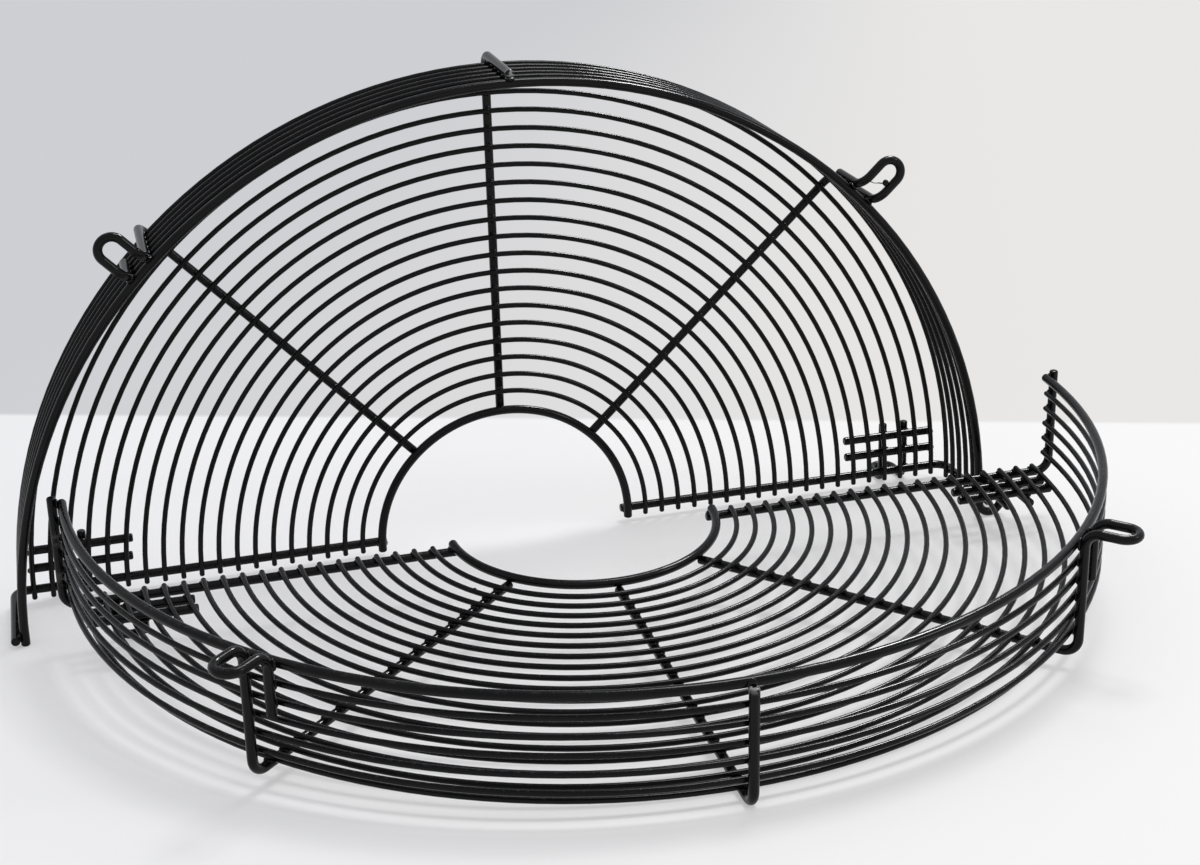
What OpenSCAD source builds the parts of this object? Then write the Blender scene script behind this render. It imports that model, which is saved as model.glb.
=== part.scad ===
// Split wire guard for an axial fan: two half-round baskets of welded, coated steel wire.
// Each half has its own frame: X along the split edge, Y into the arch, Z from the face
// rings towards the open side. The rear half stands on its cut edge, and the front half
// lies on its face. The origin is on the floor, below the ring centre of the rear half.

/* [Wire] */
// Diameter of the thin wire of the rings
thin_wire = 3; // [2:0.1:4]
// Diameter of the heavy wire of ribs, hub ring, rim and eyes
heavy_wire = 5; // [4:0.1:6]
// Rounding of the cut wire ends
end_round = 0.9; // [0.2:0.1:0.9]

/* [Face] */
// Radius of the heavy ring round the hub opening, to the middle of the wire
hub_radius = 75.8; // [60:0.1:90]
// Step from the hub ring to the first thin ring
hub_step = 11.5; // [9:0.1:16]
// Pitch of the thin rings in the face
ring_pitch = 10.5; // [8:0.1:14]
// Number of thin rings in the face
ring_count = 19; // [17:1:21]

/* [Wall] */
// Radial step from the last face ring to the wall rings
wall_step = 6.7; // [5:0.1:12]
// Height of the first wall ring above the face rings
wall_start = 8; // [6:0.1:14]
// Pitch of the wall rings
wall_pitch = 9.4; // [7:0.1:14]
// Number of thin rings in the wall
wall_count = 5; // [3:1:8]
// Step from the last wall ring to the rim
rim_step = 10; // [7:0.1:14]

/* [Ribs] */
// Bend radius of the ribs, to the middle of the wire
corner_radius = 8; // [6:0.1:9]
// Reach of the edge ribs into the hub opening, from the middle of the hub ring
edge_rib_reach = 3.5; // [1:0.1:8]
// Height of the edge ribs' cut ends above the middle of the rim
edge_rib_rise = 4; // [0:0.1:8]
// Height of the middle rib's cut end above the middle of the rim
middle_rib_rise = 0; // [-2:0.1:4]

/* [Split] */
// Distance of the split line from the ring centre: the rear half is the larger one
split_offset = 4; // [0:0.1:6]
// Distance of the rear edge ribs from the split line
rear_rib_inset = 4.3; // [3:0.1:5]

/* [Mounting eyes] */
// Angle of each mounting eye above the split line
eye_angle = 45; // [35:1:55]
// Distance between the two legs of a mounting eye, between the middles of the wire
eye_spacing = 14; // [12:0.1:18]
// Reach of a mounting eye from its legs on the wall to the middle of the wire at its tip
eye_reach = 23.5; // [20:0.1:40]
// Height of the mounting eyes above the middle of the rim
eye_rise = 7; // [0:0.1:12]
// Length of the returning leg down the wall, from the level of the eye
eye_return = 32; // [20:0.1:45]

/* [Coupling eyes] */
// Distance of the coupling eyes inside the last face ring
coupling_inset = 22.5; // [18:0.1:30]
// Distance between the two legs of a coupling eye, between the middles of the wire
coupling_spacing = 14; // [12:0.1:18]
// Distance from the edge rib to the plane of the loop
coupling_setback = 7; // [6.5:0.1:12]
// Depth of the loop, from its legs to the middle of the wire at its tip
coupling_depth = 21; // [16:0.1:30]
// Bend radius of the coupling eyes' legs
coupling_bend = 6; // [5:0.1:6.5]
// Length of the legs past the middle of the far bar
coupling_tail = 6.5; // [3:0.1:10]
// Distance of the near bar from the edge rib
bar_place = 13; // [10:0.1:18]
// Distance between the two bars
bar_step = 11; // [8:0.1:16]
// Number of face rings that each bar crosses
bar_rings = 6; // [4:1:8]
// Length of each bar past the innermost ring that it crosses
bar_inner_tail = 4; // [2:0.1:6]
// Length of each bar past the outermost face ring
bar_outer_tail = 1.5; // [0.5:0.1:3]

/* [Layout] */
// Distance of the front half from the rear rim, from the middle of the wire to the ring centre
front_gap = 18; // [17:0.5:60]
// Sideways place of the front half
front_shift = 28; // [0:0.5:60]
// Turn of the front half on the floor, in degrees
front_turn = -0.4; // [-5:0.1:5]

/* [Hidden] */
$fn = 96;
HALVES = ["rear", "front"];
SIDES = ["left", "right"];

// The rounded end of a cut wire is slimmer than the wire by this step on each side
end_step = 0.05;
// Crossing wires touch along their outer lines
cross_step = (thin_wire + heavy_wire) / 2;
rib_level = -cross_step;
coupling_level = rib_level - heavy_wire;
first_ring = hub_radius + hub_step;
last_ring = first_ring + (ring_count - 1) * ring_pitch;
coupling_place = last_ring - coupling_inset;
wall_radius = last_ring + wall_step;
rib_radius = wall_radius + cross_step;
rim_radius = rib_radius - heavy_wire;
hub_ring_level = rib_level + heavy_wire;
rim_height = wall_start + (wall_count - 1) * wall_pitch + rim_step;
eye_level = rim_height + eye_rise;

// When the halves are closed, their edge ribs lie side by side
front_rib_inset = heavy_wire - rear_rib_inset;
function split_line(half) = half == "rear" ? -split_offset : split_offset;
function edge_line(half) = split_line(half) + (half == "rear" ? rear_rib_inset : front_rib_inset);
function ring_radius(i) = first_ring + (i - 1) * ring_pitch;
function ring_name(i) = str("face_ring_", i < 10 ? "0" : "", i);
function side_sign(side) = side == "left" ? -1 : 1;

// The rear half leans on the ends of its rim and on the bends of its coupling eyes
rear_bend_y = edge_line("rear") - coupling_setback + coupling_bend;
rear_bend_z = coupling_level - coupling_bend;
rear_tip_y = split_line("rear") + end_round;
rear_tip_z = rim_height + heavy_wire / 2 - end_step - end_round;
rear_rest = [rear_bend_y - rear_tip_y, rear_tip_z - rear_bend_z];
rear_drop = coupling_bend + heavy_wire / 2 - end_round;
rear_lean = asin(rear_drop / norm(rear_rest)) - atan2(rear_rest[0], rear_rest[1]);
rear_height = end_round - rear_tip_y * cos(rear_lean) + rear_tip_z * sin(rear_lean);

// The front half rests on the tips of its coupling eyes and on the bend of its middle rib
front_loop_y = edge_line("front") - coupling_setback;
front_loop_z = coupling_level - coupling_depth;
front_bend_y = rib_radius - corner_radius;
front_bend_z = rib_level + corner_radius;
front_rest = [front_bend_z - front_loop_z, front_bend_y - front_loop_y];
front_tilt = acos(corner_radius / norm(front_rest)) - atan2(front_rest[1], front_rest[0]);
front_height = heavy_wire / 2 - front_loop_z * cos(front_tilt) + front_loop_y * sin(front_tilt);

module coat() {
    color("#1b1b1d") children();
}

// Puts a half where it rests
module place(half) {
    if (half == "rear") {
        translate([0, 0, rear_height]) rotate([90 + rear_lean, 0, 0]) children();
    } else {
        translate([front_shift, -rim_height - front_gap, front_height])
            rotate([0, 0, front_turn])
            rotate([front_tilt, 0, 0])
            rotate([0, 0, 180])
            children();
    }
}

// Rounded end of a cut wire, from the origin along +Z, with a neck that sits inside the wire
module cut_end(wire) {
    neck = wire / 2 - end_step;
    flat = neck - end_round;
    rotate_extrude() {
        translate([0, -end_round]) square([neck, end_round]);
        square([flat, end_round]);
        translate([flat, 0]) intersection() {
            circle(end_round);
            square(end_round);
        }
    }
}

// Half-round wire with its ends cut at the split line
module ring_wire(wire, radius, half) {
    start = asin((split_line(half) + end_round) / radius);
    rotate([0, 0, start]) rotate_extrude(angle = 180 - 2 * start) translate([radius, 0]) circle(d = wire);
    rotate([0, 0, start]) translate([radius, 0, 0]) rotate([90, 0, 0]) cut_end(wire);
    rotate([0, 0, 180 - start]) translate([radius, 0, 0]) rotate([-90, 0, 0]) cut_end(wire);
}

// Bend that starts at the origin along +Z and curves towards +X
module wire_bend(radius, angle) {
    translate([radius, 0, 0])
        rotate([90, 0, 180])
        rotate_extrude(angle = angle)
        translate([radius, 0])
        circle(d = heavy_wire);
}

// Follows a list of moves along +Z: [length] runs straight, and [radius, angle, side]
// bends towards the side, an angle round the wire from its own +X.
module wire_moves(moves, step = 0) {
    if (step == len(moves)) {
        cut_end(heavy_wire);
    } else if (len(moves[step]) == 1) {
        length = moves[step][0];
        cylinder(h = length, d = heavy_wire);
        translate([0, 0, length]) wire_moves(moves, step + 1);
    } else {
        radius = moves[step][0];
        angle = moves[step][1];
        rotate([0, 0, moves[step][2]]) {
            wire_bend(radius, angle);
            translate([radius * (1 - cos(angle)), 0, radius * sin(angle)])
                rotate([0, angle, 0])
                wire_moves(moves, step + 1);
        }
    }
}

// Heavy wire with both ends cut, whose moves run from the middle of one rounding to the other
module heavy_run(moves) {
    mirror([0, 0, 1]) cut_end(heavy_wire);
    wire_moves(moves);
}

// Turns +Z to the outward direction at an angle round the ring centre, and +X to the open side
module outward(angle, start) {
    rotate([0, 0, angle]) translate([start, 0, rib_level]) rotate([0, 90, 0]) rotate([0, 0, 180]) children();
}

// Moves of a rib that runs out along the face and up the wall to a height
function rib_moves(start, top) = [
    [rib_radius - corner_radius - start],
    [corner_radius, 90, 0],
    [top - rib_level - corner_radius - end_round]
];

module face_ring(i, half) {
    coat() ring_wire(thin_wire, ring_radius(i), half);
}

module inner_ring(half) {
    coat() translate([0, 0, hub_ring_level]) ring_wire(heavy_wire, hub_radius, half);
}

module wall_rings(half) {
    coat() for (k = [0 : wall_count - 1])
        translate([0, 0, wall_start + k * wall_pitch]) ring_wire(thin_wire, wall_radius, half);
}

module rim_ring(half) {
    coat() translate([0, 0, rim_height]) ring_wire(heavy_wire, rim_radius, half);
}

module edge_rib(side, half) {
    start = hub_radius - edge_rib_reach + end_round;
    coat() translate([0, edge_line(half), 0])
        outward(side == "left" ? 180 : 0, start)
        heavy_run(rib_moves(start, rim_height + edge_rib_rise));
}

module middle_rib() {
    start = hub_radius;
    coat() outward(90, start) heavy_run(rib_moves(start, rim_height + middle_rib_rise));
}

// Rib whose outer end is the mounting eye: out of the wall, round and back down the wall
module eye_rib(side) {
    start = hub_radius;
    reach = eye_reach - corner_radius - eye_spacing / 2;
    half_step = asin(eye_spacing / 2 / rib_radius);
    coat() outward((side == "left" ? 180 - eye_angle : eye_angle) - half_step, start)
        heavy_run([
            [rib_radius - corner_radius - start],
            [corner_radius, 90, 0],
            [eye_level - rib_level - 2 * corner_radius],
            [corner_radius, 90, 180],
            [reach],
            [eye_spacing / 2, 180, 90],
            [reach],
            [corner_radius, 90, -90],
            [eye_return - corner_radius - end_round]
        ]);
}

// Two bars beside each edge rib
module bracket_bars(half) {
    coat() for (side = SIDES) for (k = [0, 1]) {
        line = edge_line(half) + bar_place + k * bar_step;
        inner = sqrt(pow(ring_radius(ring_count + 1 - bar_rings), 2) - pow(line, 2)) - bar_inner_tail;
        outer = sqrt(pow(last_ring, 2) - pow(line, 2)) + bar_outer_tail;
        translate([side_sign(side) * inner, line, rib_level])
            rotate([0, side_sign(side) * 90, 0])
            translate([0, 0, end_round])
            heavy_run([[outer - inner - 2 * end_round]]);
    }
}

// Loop for a coupling pin: its legs lie across the bars and the edge rib, then turn outwards
module coupling_eye(side, half) {
    tail = edge_line(half) + bar_place + bar_step + coupling_tail - end_round;
    run = tail - edge_line(half) + coupling_setback - coupling_bend;
    depth = coupling_depth - coupling_bend - coupling_spacing / 2;
    coat() translate([side_sign(side) * coupling_place - coupling_spacing / 2, tail, coupling_level])
        rotate([90, 0, 0])
        heavy_run([
            [run],
            [coupling_bend, 90, -90],
            [depth],
            [coupling_spacing / 2, 180, 90],
            [depth],
            [coupling_bend, 90, -90],
            [run]
        ]);
}

for (half = HALVES) {
    for (i = [1 : ring_count])
        place(half) face_ring(i, half);
    place(half) inner_ring(half);
    place(half) wall_rings(half);
    place(half) rim_ring(half);
    place(half) middle_rib();
    place(half) bracket_bars(half);
    for (side = SIDES) {
        place(half) edge_rib(side, half);
        place(half) eye_rib(side);
        place(half) coupling_eye(side, half);
    }
}
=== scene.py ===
"""Split wire guard for an axial fan: two half-round baskets of black powder coated wire."""

import math
import random

import bpy
from mathutils import Matrix, Vector


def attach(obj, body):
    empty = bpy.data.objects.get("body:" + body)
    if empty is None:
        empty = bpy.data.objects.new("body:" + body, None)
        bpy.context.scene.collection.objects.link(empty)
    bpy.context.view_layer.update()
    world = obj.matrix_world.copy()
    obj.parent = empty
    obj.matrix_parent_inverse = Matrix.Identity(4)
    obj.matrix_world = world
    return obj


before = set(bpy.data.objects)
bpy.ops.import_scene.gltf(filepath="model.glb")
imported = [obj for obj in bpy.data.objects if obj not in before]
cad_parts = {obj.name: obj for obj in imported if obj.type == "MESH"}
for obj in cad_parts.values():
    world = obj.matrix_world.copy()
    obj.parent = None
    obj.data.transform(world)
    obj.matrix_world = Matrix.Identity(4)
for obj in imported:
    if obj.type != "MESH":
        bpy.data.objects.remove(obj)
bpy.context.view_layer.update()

# Sizes of the guard, in metres, as in the part's source
MM = 0.001
THIN_WIRE = 3 * MM
HEAVY_WIRE = 5 * MM
END_ROUND = 0.9 * MM
END_STEP = 0.05 * MM
HUB_RADIUS = 75.8 * MM
HUB_STEP = 11.5 * MM
RING_PITCH = 10.5 * MM
RING_COUNT = 19
WALL_STEP = 6.7 * MM
WALL_START = 8 * MM
WALL_PITCH = 9.4 * MM
WALL_COUNT = 5
RIM_STEP = 10 * MM
CORNER_RADIUS = 8 * MM
SPLIT_OFFSET = 4 * MM
REAR_RIB_INSET = 4.3 * MM
EYE_ANGLE = math.radians(45)
EYE_SPACING = 14 * MM
EYE_RISE = 7 * MM
EYE_RETURN = 32 * MM
COUPLING_INSET = 22.5 * MM
COUPLING_SPACING = 14 * MM
COUPLING_SETBACK = 7 * MM
COUPLING_DEPTH = 21 * MM
COUPLING_BEND = 6 * MM
BAR_PLACE = 13 * MM
BAR_STEP = 11 * MM
BAR_RINGS = 6
FRONT_GAP = 18 * MM
FRONT_SHIFT = 28 * MM
FRONT_TURN = math.radians(-0.4)

# Sizes that follow from them
SPLIT_LINE = {"rear": -SPLIT_OFFSET, "front": SPLIT_OFFSET}
EDGE_LINE = {
    "rear": SPLIT_LINE["rear"] + REAR_RIB_INSET,
    "front": SPLIT_LINE["front"] + HEAVY_WIRE - REAR_RIB_INSET,
}
RIB_LEVEL = -(THIN_WIRE + HEAVY_WIRE) / 2
COUPLING_LEVEL = RIB_LEVEL - HEAVY_WIRE
FIRST_RING = HUB_RADIUS + HUB_STEP
LAST_RING = FIRST_RING + (RING_COUNT - 1) * RING_PITCH
WALL_RADIUS = LAST_RING + WALL_STEP
RIB_RADIUS = WALL_RADIUS - RIB_LEVEL
RIM_HEIGHT = WALL_START + (WALL_COUNT - 1) * WALL_PITCH + RIM_STEP
EYE_LEVEL = RIM_HEIGHT + EYE_RISE
COUPLING_PLACE = LAST_RING - COUPLING_INSET

# Where a face ring touches a rib, a leg touches a bar, and a wall ring touches a rib
FACE_TOUCH = -THIN_WIRE / 2
LEG_TOUCH = RIB_LEVEL - HEAVY_WIRE / 2
WALL_TOUCH = WALL_RADIUS + THIN_WIRE / 2

UP = Vector((0, 0, 1))


# Frames of the halves: X along the cut, Y into the arch and Z towards the open side

def rear_place():
    """Frame of the standing half: it rests on its rim ends and on its coupling eyes."""
    bend_y = EDGE_LINE["rear"] - COUPLING_SETBACK + COUPLING_BEND
    bend_z = COUPLING_LEVEL - COUPLING_BEND
    tip_y = SPLIT_LINE["rear"] + END_ROUND
    tip_z = RIM_HEIGHT + HEAVY_WIRE / 2 - END_STEP - END_ROUND
    across = bend_y - tip_y
    along = tip_z - bend_z
    drop = COUPLING_BEND + HEAVY_WIRE / 2 - END_ROUND
    lean = math.asin(drop / math.hypot(across, along)) - math.atan2(across, along)
    height = END_ROUND - tip_y * math.cos(lean) + tip_z * math.sin(lean)
    return Matrix.Translation((0, 0, height)) @ Matrix.Rotation(math.pi / 2 + lean, 4, "X")


def front_place():
    """Frame of the lying half: it rests on its coupling eyes and on its middle rib."""
    loop_y = EDGE_LINE["front"] - COUPLING_SETBACK
    loop_z = COUPLING_LEVEL - COUPLING_DEPTH
    rise = RIB_LEVEL + CORNER_RADIUS - loop_z
    reach = RIB_RADIUS - CORNER_RADIUS - loop_y
    tilt = math.acos(CORNER_RADIUS / math.hypot(rise, reach)) - math.atan2(reach, rise)
    height = HEAVY_WIRE / 2 - loop_z * math.cos(tilt) + loop_y * math.sin(tilt)
    place = Matrix.Translation((FRONT_SHIFT, -RIM_HEIGHT - FRONT_GAP, height))
    turn = Matrix.Rotation(FRONT_TURN, 4, "Z") @ Matrix.Rotation(tilt, 4, "X")
    return place @ turn @ Matrix.Rotation(math.pi, 4, "Z")


PLACES = {"rear": rear_place(), "front": front_place()}


# Shader nodes

NODE_STEP = 200
# Sockets of a Mix node that carry its amount and its colours
MIX_AMOUNT, MIX_FIRST, MIX_SECOND, MIX_RESULT = 0, 6, 7, 2


def add_node(tree, kind, **settings):
    """Adds a shader node, with its plain settings, to the right of the others."""
    made = tree.nodes.new(kind)
    made.location = (NODE_STEP * len(tree.nodes), 0)
    for name, value in settings.items():
        setattr(made, name, value)
    return made


def plug(tree, value, socket):
    """Gives a socket a value, which may be another node's output or a plain number."""
    if isinstance(value, (int, float)):
        socket.default_value = value
    else:
        tree.links.new(value, socket)


def noise(tree, source, scale, detail):
    """Noise at a scale in lumps per metre."""
    made = add_node(tree, "ShaderNodeTexNoise")
    made.inputs["Scale"].default_value = scale
    made.inputs["Detail"].default_value = detail
    tree.links.new(source, made.inputs["Vector"])
    return made.outputs["Fac"]


def spread(tree, value, source, target=(0, 1)):
    """Maps the source range of a value smoothly onto a target range, clamped at its ends."""
    made = add_node(tree, "ShaderNodeMapRange", interpolation_type="SMOOTHSTEP")
    tree.links.new(value, made.inputs["Value"])
    made.inputs["From Min"].default_value = source[0]
    made.inputs["From Max"].default_value = source[1]
    made.inputs["To Min"].default_value = target[0]
    made.inputs["To Max"].default_value = target[1]
    return made.outputs["Result"]


def combine(tree, operation, first, second):
    """Math node of two values; either may be a plain number."""
    made = add_node(tree, "ShaderNodeMath", operation=operation, use_clamp=True)
    plug(tree, first, made.inputs[0])
    plug(tree, second, made.inputs[1])
    return made.outputs["Value"]


def blend_colours(tree, amount, first, second):
    """Mixes two colours by an amount; either may be a plain colour."""
    made = add_node(tree, "ShaderNodeMix", data_type="RGBA")
    tree.links.new(amount, made.inputs[MIX_AMOUNT])
    for socket, value in ((MIX_FIRST, first), (MIX_SECOND, second)):
        if isinstance(value, tuple):
            made.inputs[socket].default_value = (*value, 1)
        else:
            tree.links.new(value, made.inputs[socket])
    return made.outputs[MIX_RESULT]


def new_material(name):
    """Makes a material and returns it with its tree, its shader and its Object coordinates."""
    material = bpy.data.materials.new(name)
    material.use_nodes = True
    tree = material.node_tree
    place = add_node(tree, "ShaderNodeTexCoord").outputs["Object"]
    return material, tree, tree.nodes["Principled BSDF"], place


# Coat of the wires

# Darkest and lightest colour of each coat
THIN_COAT = ((0.0012, 0.0012, 0.0014), (0.0035, 0.0033, 0.0034))
HEAVY_COAT = ((0.0014, 0.0014, 0.0016), (0.0042, 0.004, 0.0039))
WORN_COAT = ((0.0014, 0.0014, 0.0016), (0.0048, 0.0046, 0.0044))
COAT_ROUGHNESS = (0.14, 0.24)
COAT_SPECULAR = 0.17
# Clouds in the colour and the gloss, fine grain and orange peel, in lumps per metre
CLOUD_SCALE = 22
CLOUD_COLOUR_RANGE = (0.35, 0.7)
CLOUD_GLOSS_RANGE = (0.3, 0.75)
GRAIN_SCALE = 420
PEEL_SCALE = 1300
PEEL_DEPTH = 0.03 * MM
PEEL_STRENGTH = 0.35
# Dust: how far up a face looks, how much of it then lies there, and in which grains
DUST_COLOUR = (0.045, 0.044, 0.042)
DUST_FACING = (0.55, 1)
DUST_AMOUNT = (0, 0.5)
DUST_GRAIN = (0.5, 0.75)
# Worn spots: the share of the radius that is worn most, how much, and in which grains
SPOT_CORE = 0.3
SPOT_STRENGTH = 0.55
SPOT_GRAIN = (0.42, 0.56)
CHIPPED_STEEL = (0.5, 0.5, 0.48)
CHIP_RADIUS = 4 * MM
RUBBED_GREEN = (0.1, 0.105, 0.09)
# Rubs on the lowest wall rings, by their distance from the edge rib, and on the rib, by level
RING_RUBS = (14 * MM, 24 * MM, 15 * MM, 30 * MM)
RING_RUB_RADIUS = 8 * MM
RIB_RUBS = (14 * MM, 36 * MM)
RIB_RUB_RADIUS = 7 * MM


def add_dust(tree, colour, grain):
    """Lays fine dust on what faces up."""
    normal = add_node(tree, "ShaderNodeNewGeometry").outputs["Normal"]
    facing = add_node(tree, "ShaderNodeSeparateXYZ")
    tree.links.new(normal, facing.inputs["Vector"])
    top = spread(tree, facing.outputs["Z"], DUST_FACING, DUST_AMOUNT)
    specks = spread(tree, grain, DUST_GRAIN)
    return blend_colours(tree, combine(tree, "MULTIPLY", top, specks), colour, DUST_COLOUR)


def add_spot(tree, colour, grain, place, spot):
    """Rubs the coat thin or chips it off, in patches around a spot."""
    centre, radius, bare = spot
    near = add_node(tree, "ShaderNodeVectorMath", operation="DISTANCE")
    tree.links.new(place, near.inputs[0])
    near.inputs[1].default_value = centre
    inside = spread(tree, near.outputs["Value"], (radius, radius * SPOT_CORE), (0, SPOT_STRENGTH))
    patches = spread(tree, grain, SPOT_GRAIN)
    return blend_colours(tree, combine(tree, "MULTIPLY", inside, patches), colour, bare)


def powder_coat(name, darkest, lightest, spots=()):
    """Semi-gloss black powder coat: orange peel, cloudy gloss, dust on top, and worn spots."""
    material, tree, shader, place = new_material(name)
    clouds = noise(tree, place, CLOUD_SCALE, detail=3)
    grain = noise(tree, place, GRAIN_SCALE, detail=2)
    peel = noise(tree, place, PEEL_SCALE, detail=1)
    colour = blend_colours(tree, spread(tree, clouds, CLOUD_COLOUR_RANGE), darkest, lightest)
    colour = add_dust(tree, colour, grain)
    for spot in spots:
        colour = add_spot(tree, colour, grain, place, spot)
    tree.links.new(colour, shader.inputs["Base Color"])

    roughness = spread(tree, clouds, CLOUD_GLOSS_RANGE, COAT_ROUGHNESS)
    tree.links.new(roughness, shader.inputs["Roughness"])
    shader.inputs["Specular IOR Level"].default_value = COAT_SPECULAR

    bump = add_node(tree, "ShaderNodeBump")
    bump.inputs["Strength"].default_value = PEEL_STRENGTH
    bump.inputs["Distance"].default_value = PEEL_DEPTH
    tree.links.new(peel, bump.inputs["Height"])
    tree.links.new(bump.outputs["Normal"], shader.inputs["Normal"])
    return material


def spot_on(half, place, radius, bare):
    """Worn spot at a place in the frame of a half."""
    return tuple(PLACES[half] @ Vector(place)), radius, bare


def wear_spots():
    """Chips at the middle ribs' cut ends, and rubs inside one end of the lying half's wall."""
    rib_end = (0, RIB_RADIUS, RIM_HEIGHT)
    found = [spot_on(half, rib_end, CHIP_RADIUS, CHIPPED_STEEL) for half in PLACES]
    edge = EDGE_LINE["front"]
    for ring, run in enumerate(RING_RUBS):
        place = (WALL_RADIUS, edge + run, WALL_START + ring * WALL_PITCH)
        found.append(spot_on("front", place, RING_RUB_RADIUS, RUBBED_GREEN))
    for level in RIB_RUBS:
        found.append(spot_on("front", (WALL_TOUCH, edge, level), RIB_RUB_RADIUS, RUBBED_GREEN))
    return found


def coat_the_wires():
    """Gives every wire its coat, and returns the plain coat of the thick wires."""
    thin = powder_coat("Thin_wire_powder_coat", *THIN_COAT)
    plain = powder_coat("Heavy_wire_powder_coat", *HEAVY_COAT)
    worn = powder_coat("Rubbed_powder_coat", *WORN_COAT, wear_spots())
    for name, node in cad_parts.items():
        if "middle_rib" in name or name in ("front_edge_rib_right", "front_wall_rings"):
            coat = worn
        elif "face_ring" in name or "wall_rings" in name:
            coat = thin
        else:
            coat = plain
        for slot in node.material_slots:
            slot.material = coat
    return plain


# Welds: each is a place, a direction along the rib, one from wire to wire, and a growth

NUGGET_SIZE = (2.1 * MM, 1.7 * MM, 0.95 * MM)
# Its ends flare beyond its waist
NUGGET_WAIST = 0.6 * MM
NUGGET_FLARE = 1.25
# Growth of the welds that hold thick wires together, and how much all welds vary
HUB_WELD = 1.35
RIM_WELD = 1.3
LEG_WELD = 1.3
WELD_GROWTH = (0.85, 1.1)
WELD_TURN = 0.35


def pick_only(*pieces):
    """Selects nothing but these pieces and makes the first of them active."""
    bpy.ops.object.select_all(action="DESELECT")
    for piece in pieces:
        piece.select_set(True)
    if pieces:
        bpy.context.view_layer.objects.active = pieces[0]


def weld_nugget():
    """Squeezed collar of metal between two crossing wires: a lens with a drawn-in waist."""
    pick_only()
    bpy.ops.mesh.primitive_uv_sphere_add(segments=10, ring_count=6, radius=1)
    nugget = bpy.context.object
    bpy.ops.object.mode_set(mode="EDIT")
    bpy.ops.mesh.select_all(action="SELECT")
    bpy.ops.transform.resize(value=NUGGET_SIZE)
    bpy.ops.object.mode_set(mode="OBJECT")
    for face in nugget.data.polygons:
        face.select = abs(face.center.z) > NUGGET_WAIST
    bpy.ops.object.mode_set(mode="EDIT")
    bpy.ops.mesh.select_mode(type="FACE")
    bpy.ops.transform.resize(value=(NUGGET_FLARE, NUGGET_FLARE, 1))
    bpy.ops.object.mode_set(mode="OBJECT")
    for face in nugget.data.polygons:
        face.use_smooth = True
    return nugget


def upright(along, normal):
    """Turn that takes +X along the rib and +Z from one wire to the other."""
    side = normal.cross(along).normalized()
    return Matrix((along, side, normal)).transposed().to_4x4()


def face_welds(start, direction, radii):
    """Welds where a rib or bar crosses rings of the face, on a straight line from a start."""
    found = []
    for radius in radii:
        ahead = start.dot(direction)
        run = -ahead + math.sqrt(ahead * ahead - start.length_squared + radius * radius)
        point = start + direction * run
        growth = HUB_WELD if radius == HUB_RADIUS else 1
        found.append((Vector((point.x, point.y, FACE_TOUCH)), direction, UP, growth))
    return found


def wall_welds(angle, aside, levels):
    """Welds where a leg of a rib crosses the rings of the wall."""
    outward = Vector((math.cos(angle), math.sin(angle), 0))
    across = Vector((-math.sin(angle), math.cos(angle), 0))
    point = outward * WALL_TOUCH + across * aside
    found = []
    for level in levels:
        growth = RIM_WELD if level == RIM_HEIGHT else 1
        found.append((Vector((point.x, point.y, level)), UP, outward, growth))
    return found


def eye_rib_welds(sign, face, wall):
    """Welds of a rib that ends in a mounting eye; its returning leg reaches only some rings."""
    half_step = math.asin(EYE_SPACING / 2 / RIB_RADIUS)
    angle = (EYE_ANGLE if sign > 0 else math.pi - EYE_ANGLE) - half_step
    radial = Vector((math.cos(angle), math.sin(angle), 0))
    returned = [level for level in wall if level > EYE_LEVEL - EYE_RETURN]
    return (
        face_welds(Vector(), radial, face)
        + wall_welds(angle, 0, wall)
        + wall_welds(angle, EYE_SPACING, returned)
    )


def edge_rib_welds(sign, line, face, wall):
    """Welds of a rib along the cut edge, from the hub ring to the rim."""
    along = Vector((sign, 0, 0))
    found = face_welds(Vector((0, line, 0)), along, [HUB_RADIUS] + face)
    for level in wall:
        point = Vector((sign * math.sqrt(WALL_TOUCH**2 - line**2), line, level))
        found.append((point, UP, along, 1))
    return found


def coupling_welds(sign, line):
    """Welds of a coupling eye's two legs on the edge rib and on the two bars."""
    found = []
    for step in (0, BAR_PLACE, BAR_PLACE + BAR_STEP):
        for leg in (-1, 1):
            aside = sign * COUPLING_PLACE + leg * COUPLING_SPACING / 2
            found.append((Vector((aside, line + step, LEG_TOUCH)), Vector((sign, 0, 0)), UP, LEG_WELD))
    return found


def bar_welds(sign, line, face):
    """Welds of the two short bars beside an edge rib."""
    found = []
    for step in (BAR_PLACE, BAR_PLACE + BAR_STEP):
        found += face_welds(Vector((0, line + step, 0)), Vector((sign, 0, 0)), face[-BAR_RINGS:])
    return found


def weld_places(half):
    """Welds of a half, by the piece that they hold."""
    face = [FIRST_RING + ring * RING_PITCH for ring in range(RING_COUNT)]
    wall = [WALL_START + ring * WALL_PITCH for ring in range(WALL_COUNT)] + [RIM_HEIGHT]
    line = EDGE_LINE[half]
    places = {
        "middle_rib": face_welds(Vector(), Vector((0, 1, 0)), face) + wall_welds(math.pi / 2, 0, wall),
        "bracket_bars": bar_welds(-1, line, face) + bar_welds(1, line, face),
    }
    for side, sign in (("left", -1), ("right", 1)):
        places["eye_rib_" + side] = eye_rib_welds(sign, face, wall)
        places["edge_rib_" + side] = edge_rib_welds(sign, line, face, wall)
        places["coupling_eye_" + side] = coupling_welds(sign, line)
    return places


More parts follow.
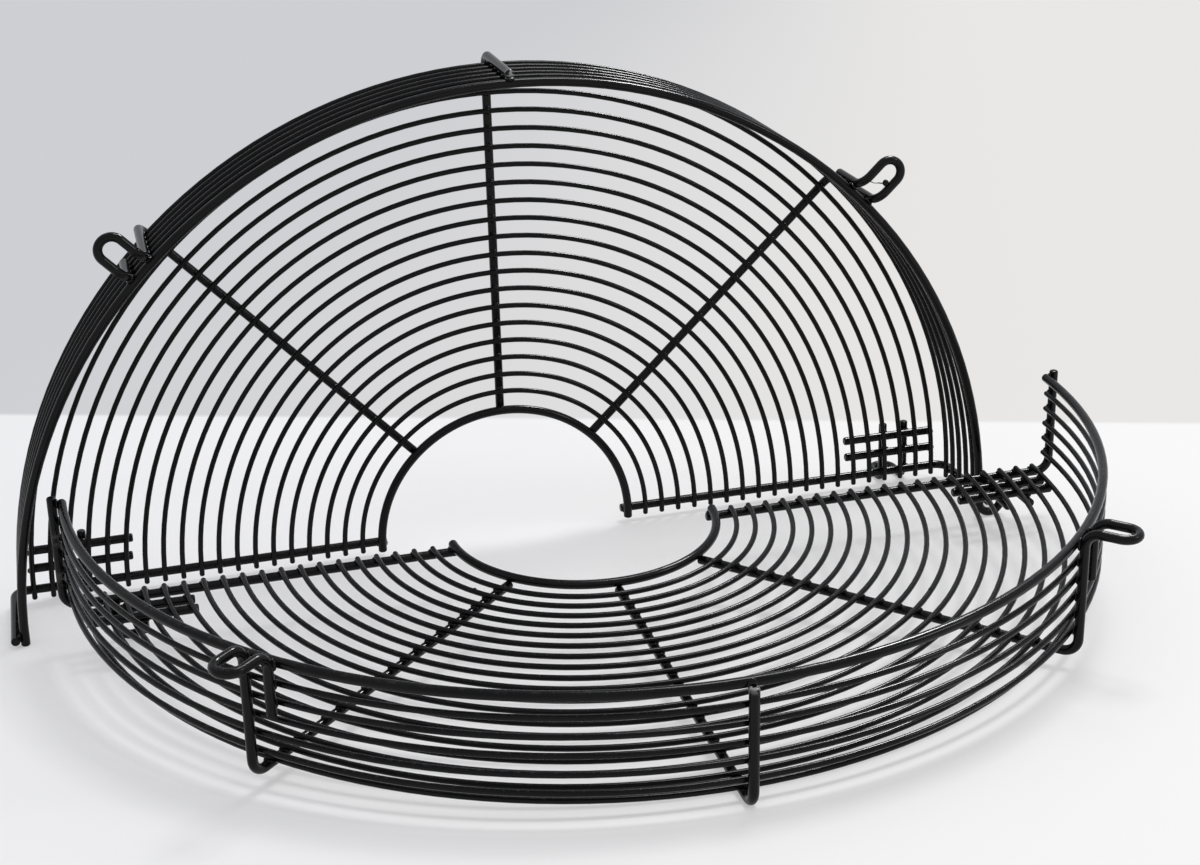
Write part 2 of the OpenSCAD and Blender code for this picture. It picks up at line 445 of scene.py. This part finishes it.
def weld_up(half, nugget, coat):
    """Sets the welds of a half, each its own small lump, joined to one piece per rib."""
    chance = random.Random(half)
    for name, welds in weld_places(half).items():
        lumps = []
        for point, along, normal, growth in welds:
            lump = nugget.copy()
            lump.data = nugget.data.copy()
            bpy.context.scene.collection.objects.link(lump)
            size = growth * chance.uniform(*WELD_GROWTH)
            turn = Matrix.Rotation(chance.uniform(-WELD_TURN, WELD_TURN), 4, "Z")
            place = PLACES[half] @ Matrix.Translation(point) @ upright(along, normal)
            lump.data.transform(place @ turn @ Matrix.Scale(size, 4))
            lumps.append(lump)
        pick_only(*lumps)
        bpy.ops.object.join()
        piece = bpy.context.object
        piece.name = half + "_welds_" + name
        piece.data.materials.clear()
        piece.data.materials.append(coat)
        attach(piece, "root")


def weld_the_guard(coat):
    """Sets the welds of both halves."""
    nugget = weld_nugget()
    for half in PLACES:
        weld_up(half, nugget, coat)
    bpy.data.objects.remove(nugget)


# Lumps of coat

LUMP_SHAPE = (1, 0.85, 1.1)
LUMP_UNEVENNESS = 0.12
# Places in a mounting eye are a run out from the wall and a distance from the eye's middle
DRIP_PLACE = (11 * MM, -3.3 * MM)
DRIP_RADIUS = 1.9 * MM
DRIP_SEED = 3
THREAD_ENDS = ((9.5 * MM, -2 * MM), (5.5 * MM, 4.8 * MM))
THREAD_RADIUS = 0.35 * MM
THREAD_CUTS = (-0.25, 0, 0.25)
THREAD_WAIST = 0.6
THREAD_SAG = 0.5 * MM
# Number of the face ring and place along it, in degrees
RING_NIBS = ((1, 39.3), (4, 133.2), (11, 139))
NIB_RADIUS = 1.3 * MM
NIB_LIFT = 0.9 * MM


def settle(piece, name, coat):
    """Puts the place of a new piece into its mesh and sets it on the guard."""
    pick_only(piece)
    bpy.ops.object.transform_apply(location=True, rotation=True, scale=True)
    bpy.ops.object.shade_smooth()
    piece.name = name
    piece.data.materials.append(coat)
    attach(piece, "root")


def coat_lump(name, place, radius, coat, seed):
    """Uneven bead of coat that stuck to a wire."""
    pick_only()
    bpy.ops.mesh.primitive_ico_sphere_add(subdivisions=3, radius=radius, location=place)
    bead = bpy.context.object
    bpy.ops.object.mode_set(mode="EDIT")
    bpy.ops.mesh.select_all(action="SELECT")
    bpy.ops.transform.resize(value=LUMP_SHAPE)
    bpy.ops.transform.vertex_random(offset=radius * LUMP_UNEVENNESS, seed=seed)
    bpy.ops.mesh.vertices_smooth(factor=0.5, repeat=2)
    bpy.ops.object.mode_set(mode="OBJECT")
    settle(bead, name, coat)


def coat_thread(name, start, end, radius, coat):
    """Thread of coat drawn out between two legs, thinnest where it sags at its middle."""
    pick_only()
    middle = (start + end) / 2
    span = end - start
    turn = span.to_track_quat("Z", "Y").to_euler()
    bpy.ops.mesh.primitive_cylinder_add(
        vertices=8, radius=radius, depth=span.length, location=middle, rotation=turn
    )
    thread = bpy.context.object
    bpy.ops.object.mode_set(mode="EDIT")
    for share in THREAD_CUTS:
        bpy.ops.mesh.select_all(action="SELECT")
        bpy.ops.mesh.bisect(plane_co=middle + span * share, plane_no=span.normalized())
    bpy.ops.object.mode_set(mode="OBJECT")
    middle_reach = span.length * max(THREAD_CUTS) / 2
    for vertex in thread.data.vertices:
        vertex.select = abs(vertex.co.z) < middle_reach
    bpy.ops.object.mode_set(mode="EDIT")
    bpy.ops.mesh.select_mode(type="VERT")
    bpy.ops.transform.resize(value=(THREAD_WAIST, THREAD_WAIST, THREAD_WAIST))
    bpy.ops.transform.translate(value=(0, 0, -THREAD_SAG))
    bpy.ops.object.mode_set(mode="OBJECT")
    settle(thread, name, coat)


def eye_place(run, aside):
    """Place in the standing half's right mounting eye, at a run out from the wall."""
    outward = Vector((math.cos(EYE_ANGLE), math.sin(EYE_ANGLE), 0))
    across = Vector((-math.sin(EYE_ANGLE), math.cos(EYE_ANGLE), 0))
    root = outward * RIB_RADIUS + UP * EYE_LEVEL
    return PLACES["rear"] @ (root + outward * run + across * aside)


def drip_in_the_eye(coat):
    """Bead of coat in a mounting eye of the standing half, with a thread to the other leg."""
    coat_lump("eye_drip", eye_place(*DRIP_PLACE), DRIP_RADIUS, coat, DRIP_SEED)
    start, end = (eye_place(*place) for place in THREAD_ENDS)
    coat_thread("eye_drip_thread", start, end, THREAD_RADIUS, coat)


def nibs_on_the_rings(coat):
    """Small beads of coat on three face rings of the lying half."""
    for step, (ring, degrees) in enumerate(RING_NIBS):
        radius = FIRST_RING + ring * RING_PITCH
        angle = math.radians(degrees)
        place = Vector((radius * math.cos(angle), radius * math.sin(angle), NIB_LIFT))
        coat_lump(f"ring_nib_{step + 1}", PLACES["front"] @ place, NIB_RADIUS, coat, step)


# Floor, light and camera

FLOOR_SIZE = 14
# The table top ends in a line at this distance from the origin, with this turn and blur
TABLE_EDGE = 0.259
TABLE_EDGE_TURN = math.radians(-24.9)
TABLE_EDGE_BLUR = (-0.004, 0.006)
# Colours of the table top and of the floor behind it, and where they change from left to right
# The left colours are darker and the right ones lighter: painted light that falls from the right
TABLE_LEFT = (0.89, 0.885, 0.895)
TABLE_RIGHT = (0.92, 0.91, 0.9)
BEHIND_LEFT = (0.62, 0.625, 0.65)
BEHIND_RIGHT = (0.815, 0.805, 0.795)
PAINTED_LIGHT_SPAN = (-0.45, 0.5)
TABLE_GLOW = 0.4
FLOOR_ROUGHNESS = 0.7
FLOOR_SPECULAR = 0.2
SKY_COLOUR = (0.93, 0.95, 1, 1)
SKY_STRENGTH = 0.7
CAMERA_PLACE = (-0.23564, -1.10484, 0.43488)
CAMERA_YAW = math.radians(-14.0076)
CAMERA_PITCH = math.radians(-15.1117)
CAMERA_ROLL = math.radians(2.9162)
SENSOR_WIDTH = 36
LENS_LENGTH = 59.955
LENS_SHIFT = (0.0324, -0.0869)


def floor_material():
    """Pale table top that ends in a straight line, a greyer floor behind it, both in painted light from
    the right.
    """
    material, tree, shader, place = new_material("Pale_floor")
    turned = add_node(tree, "ShaderNodeMapping", vector_type="TEXTURE")
    turned.inputs["Location"].default_value = (0, TABLE_EDGE, 0)
    turned.inputs["Rotation"].default_value = (0, 0, TABLE_EDGE_TURN)
    tree.links.new(place, turned.inputs["Vector"])
    parts = add_node(tree, "ShaderNodeSeparateXYZ")
    tree.links.new(turned.outputs["Vector"], parts.inputs["Vector"])
    behind = spread(tree, parts.outputs["Y"], TABLE_EDGE_BLUR)
    # Painted light: table top and floor behind grow lighter towards the right, as if lit from that side
    right = spread(tree, parts.outputs["X"], PAINTED_LIGHT_SPAN)
    near = blend_colours(tree, right, TABLE_LEFT, TABLE_RIGHT)
    far = blend_colours(tree, right, BEHIND_LEFT, BEHIND_RIGHT)
    surface = blend_colours(tree, behind, near, far)
    tree.links.new(surface, shader.inputs["Base Color"])
    shader.inputs["Roughness"].default_value = FLOOR_ROUGHNESS
    shader.inputs["Specular IOR Level"].default_value = FLOOR_SPECULAR

    # Seen directly or in gloss, the floor behind is evenly lit and the table top partly so, glowing with
    # the painted light from the right
    rays = add_node(tree, "ShaderNodeLightPath")
    seen = combine(tree, "MAXIMUM", rays.outputs["Is Camera Ray"], rays.outputs["Is Glossy Ray"])
    even = combine(tree, "MAXIMUM", behind, TABLE_GLOW)
    glow = add_node(tree, "ShaderNodeEmission")
    tree.links.new(surface, glow.inputs["Color"])
    finish = add_node(tree, "ShaderNodeMixShader")
    tree.links.new(combine(tree, "MULTIPLY", seen, even), finish.inputs["Fac"])
    tree.links.new(shader.outputs["BSDF"], finish.inputs[1])
    tree.links.new(glow.outputs["Emission"], finish.inputs[2])
    tree.links.new(finish.outputs["Shader"], tree.nodes["Material Output"].inputs["Surface"])
    return material


def lay_floor():
    """Lays the floor that the guard stands on."""
    pick_only()
    bpy.ops.mesh.primitive_plane_add(size=FLOOR_SIZE)
    floor = bpy.context.object
    floor.name = "floor"
    floor.data.materials.append(floor_material())


def soft_box(name, place, aim, size, power):
    """Square soft light that faces a point."""
    lamp = bpy.data.lights.new(name, "AREA")
    lamp.size = size
    lamp.energy = power
    holder = bpy.data.objects.new(name, lamp)
    holder.location = place
    holder.rotation_euler = (Vector(aim) - Vector(place)).to_track_quat("-Z", "Y").to_euler()
    bpy.context.scene.collection.objects.link(holder)
    return holder


def light_the_room():
    """Pale room with two soft lamps, and one that only glints along the wires."""
    world = bpy.data.worlds.new("Pale_room")
    bpy.context.scene.world = world
    world.use_nodes = True
    sky = world.node_tree.nodes["Background"]
    sky.inputs["Color"].default_value = SKY_COLOUR
    sky.inputs["Strength"].default_value = SKY_STRENGTH
    soft_box("overhead_light", place=(0.5, 0.1, 1.9), aim=(0, -0.1, 0), size=0.5, power=12.5)
    soft_box("window_light", place=(1.9, -1.2, 1.4), aim=(0, -0.1, 0.1), size=0.45, power=6.5)
    glint = soft_box("glint_light", place=(0.92, 0.58, 1.53), aim=(-0.1, -0.2, 0.05), size=0.35, power=30)
    glint.visible_diffuse = False


def set_camera():
    """Places the camera in front of the guard, a little above it."""
    lens = bpy.data.cameras.new("camera")
    lens.sensor_width = SENSOR_WIDTH
    lens.lens = LENS_LENGTH
    lens.shift_x, lens.shift_y = LENS_SHIFT
    camera = bpy.data.objects.new("camera", lens)
    bpy.context.scene.collection.objects.link(camera)
    camera.location = CAMERA_PLACE
    aim = Matrix.Rotation(CAMERA_YAW, 3, "Z") @ Matrix.Rotation(math.pi / 2 + CAMERA_PITCH, 3, "X")
    camera.rotation_euler = (aim @ Matrix.Rotation(-CAMERA_ROLL, 3, "Z")).to_euler()
    bpy.context.scene.camera = camera
    bpy.context.scene.view_settings.view_transform = "Standard"


heavy_coat = coat_the_wires()
drip_in_the_eye(heavy_coat)
nibs_on_the_rings(heavy_coat)
weld_the_guard(heavy_coat)
lay_floor()
light_the_room()
set_camera()
